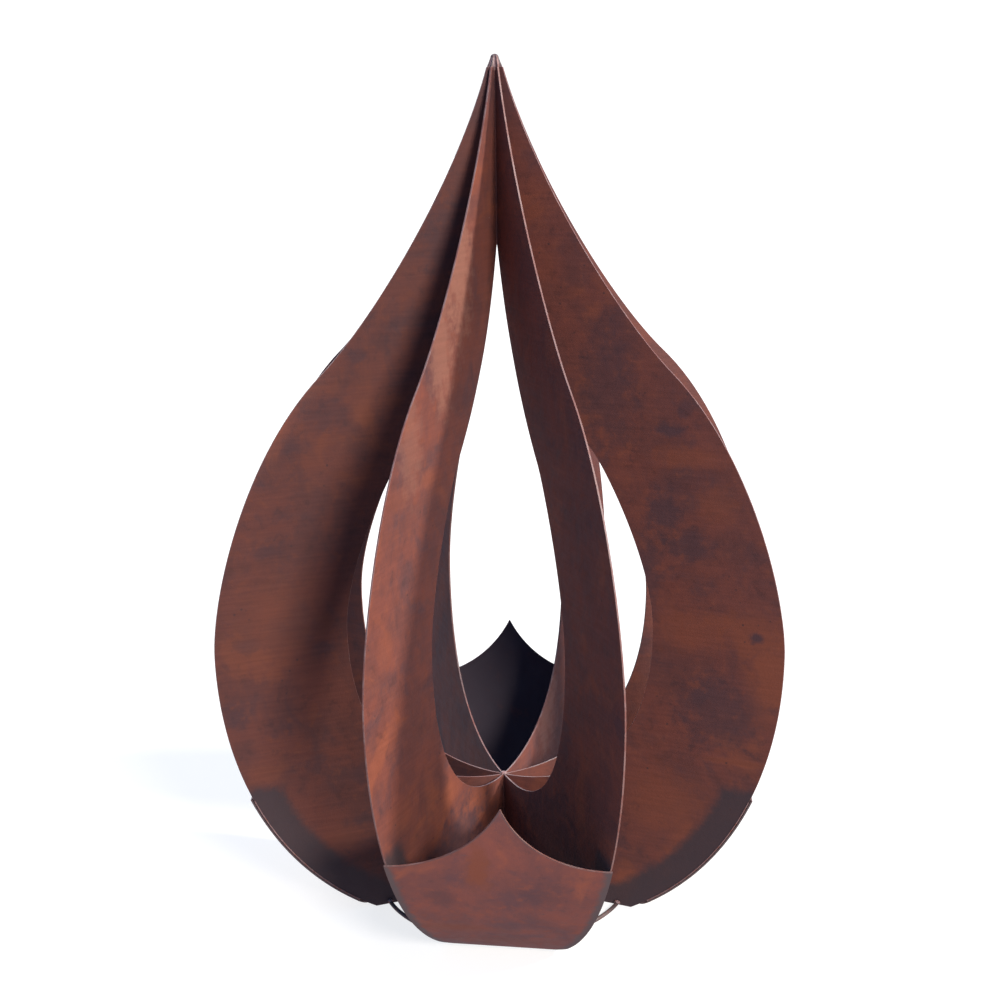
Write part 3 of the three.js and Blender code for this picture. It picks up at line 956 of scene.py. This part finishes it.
def weld_metal():
    finish = Finish("weld_metal", 0.5)
    finish.color = WELD_GREY
    mottle = finish.noise(0.005, 2.0, 4.0, 0.65)
    finish.layer(finish.band(mottle, 0.45, 0.66, 0.8), RUST_ORANGE)
    finish.layer(finish.band(mottle, 0.42, 0.30, 0.6), RUST_DARK)
    return finish.finish(finish.range(mottle, 0.42, 0.62), finish.bump(mottle, 0.0003))


def tip_metal():
    """Weld metal between the ridges, and the fins' rust on them."""
    finish = Finish("tip_metal", 0.5)
    finish.color = WELD_GREY
    mottle = finish.noise(0.005, 5.0, 3.0, 0.65)
    finish.layer(finish.band(mottle, 0.40, 0.62, 0.7), RUST_RED)
    finish.layer(finish.band(finish.attribute("ridge"), 0.1, 0.6, 0.85), RUST_DARK)
    finish.layer(finish.band(finish.height(), HEIGHT - 0.006, HEIGHT - 0.001, 0.7), RUST_DARK)
    return finish.finish(finish.range(mottle, 0.42, 0.62), finish.bump(mottle, 0.0002))


rust = rusted_sheet()
brushed = brushed_sheet()
painted_shade_finish = painted_shade_inside()
edge_finish = bare_edge()
weld_finish = weld_metal()

for side_name in SIDES:
    build_petal(side_name, [rust, edge_finish])
    build_plate(side_name, [brushed, edge_finish, painted_shade_finish])
build_ring(rusted_rod())
build_ring_welds(weld_finish)
build_plate_seams(weld_finish)
build_hub(weld_finish)
build_tip(tip_metal())
build_tacks(weld_finish)

# Camera, floor and light
CAMERA_PLACE = Vector((0.0664, -1.8527, 0.9760))
CAMERA_TURN = math.radians(2.0589)
CAMERA_DIP = math.radians(14.5392)
CAMERA_ROLL = math.radians(0.7273)
CAMERA_LENS = 58.32

camera_data = bpy.data.cameras.new("camera")
camera_data.lens = CAMERA_LENS
camera_data.sensor_width = 36
camera = bpy.data.objects.new("camera", camera_data)
bpy.context.scene.collection.objects.link(camera)
camera.matrix_world = (
    Matrix.Translation(CAMERA_PLACE)
    @ Matrix.Rotation(CAMERA_TURN, 4, "Z")
    @ Matrix.Rotation(UP - CAMERA_DIP, 4, "X")
    @ Matrix.Rotation(-CAMERA_ROLL, 4, "Z")
)
bpy.context.scene.camera = camera


def sun(name, azimuth_deg, elevation_deg, strength, color, angle_deg):
    """Parallel light; azimuth runs from the front to the right, strength is what a white sheet shows."""
    azimuth, elevation = math.radians(azimuth_deg), math.radians(elevation_deg)
    towards = Vector((
        math.sin(azimuth) * math.cos(elevation),
        -math.cos(azimuth) * math.cos(elevation),
        math.sin(elevation),
    ))
    data = bpy.data.lights.new(name, "SUN")
    data.energy = strength * math.pi
    data.color = color
    data.angle = math.radians(angle_deg)
    light = bpy.data.objects.new(name, data)
    light.rotation_euler = towards.to_track_quat("Z", "Y").to_euler()
    bpy.context.scene.collection.objects.link(light)


sun("softbox", 30, 30, 1.12, (1.0, 0.96, 0.93), 16)
sun("side_light", 78, 35, 1.35, (1.0, 0.93, 0.85), 8)
sun("back_fill", 205, 30, 0.60, (1.0, 0.95, 0.90), 40)

# The floor and what lies beyond it are the same white, so that no horizon shows.
FLOOR_SIZE = 40
SKY = (0.15, 0.34, 0.72)
GROUND_BOUNCE = (0.54, 0.46, 0.52)

floor_mesh = bpy.data.meshes.new("floor")
half = FLOOR_SIZE / 2
corners = [(-half, -half, 0), (half, -half, 0), (half, half, 0), (-half, half, 0)]
floor_mesh.from_pydata(corners, [], [(0, 1, 2, 3)])
floor = bpy.data.objects.new("floor", floor_mesh)
bpy.context.scene.collection.objects.link(floor)
floor.visible_diffuse = False
floor.visible_glossy = False
floor_paint = bpy.data.materials.new("floor")
floor_paint.use_nodes = True
paint = floor_paint.node_tree.nodes["Principled BSDF"].inputs
paint["Base Color"].default_value = (0.32, 0.3, 0.27, 1)
paint["Roughness"].default_value = 1
paint["Specular IOR Level"].default_value = 0
paint["Emission Color"].default_value = (1, 1, 1, 1)
paint["Emission Strength"].default_value = 0.78
floor_mesh.materials.append(floor_paint)

world = bpy.data.worlds.new("studio")
world.use_nodes = True
bpy.context.scene.world = world
nodes, links = world.node_tree.nodes, world.node_tree.links
direction = nodes.new("ShaderNodeSeparateXYZ")
links.new(nodes.new("ShaderNodeTexCoord").outputs["Generated"], direction.inputs[0])
below = nodes.new("ShaderNodeMapRange")
below.inputs["From Min"].default_value = 0.08
below.inputs["From Max"].default_value = -0.08
links.new(direction.outputs["Z"], below.inputs["Value"])
around = nodes.new("ShaderNodeMix")
around.data_type = "RGBA"
around.inputs[6].default_value = (*SKY, 1)
around.inputs[7].default_value = (*GROUND_BOUNCE, 1)
links.new(below.outputs[0], around.inputs[0])
links.new(around.outputs[2], nodes["Background"].inputs["Color"])
beyond = nodes.new("ShaderNodeBackground")
beyond.inputs["Color"].default_value = (1, 1, 1, 1)
beyond.inputs["Strength"].default_value = 1.1
choose = nodes.new("ShaderNodeMixShader")
links.new(nodes.new("ShaderNodeLightPath").outputs["Is Camera Ray"], choose.inputs[0])
links.new(nodes["Background"].outputs[0], choose.inputs[1])
links.new(beyond.outputs[0], choose.inputs[2])
links.new(choose.outputs[0], nodes["World Output"].inputs["Surface"])

bpy.context.scene.view_settings.view_transform = "Standard"
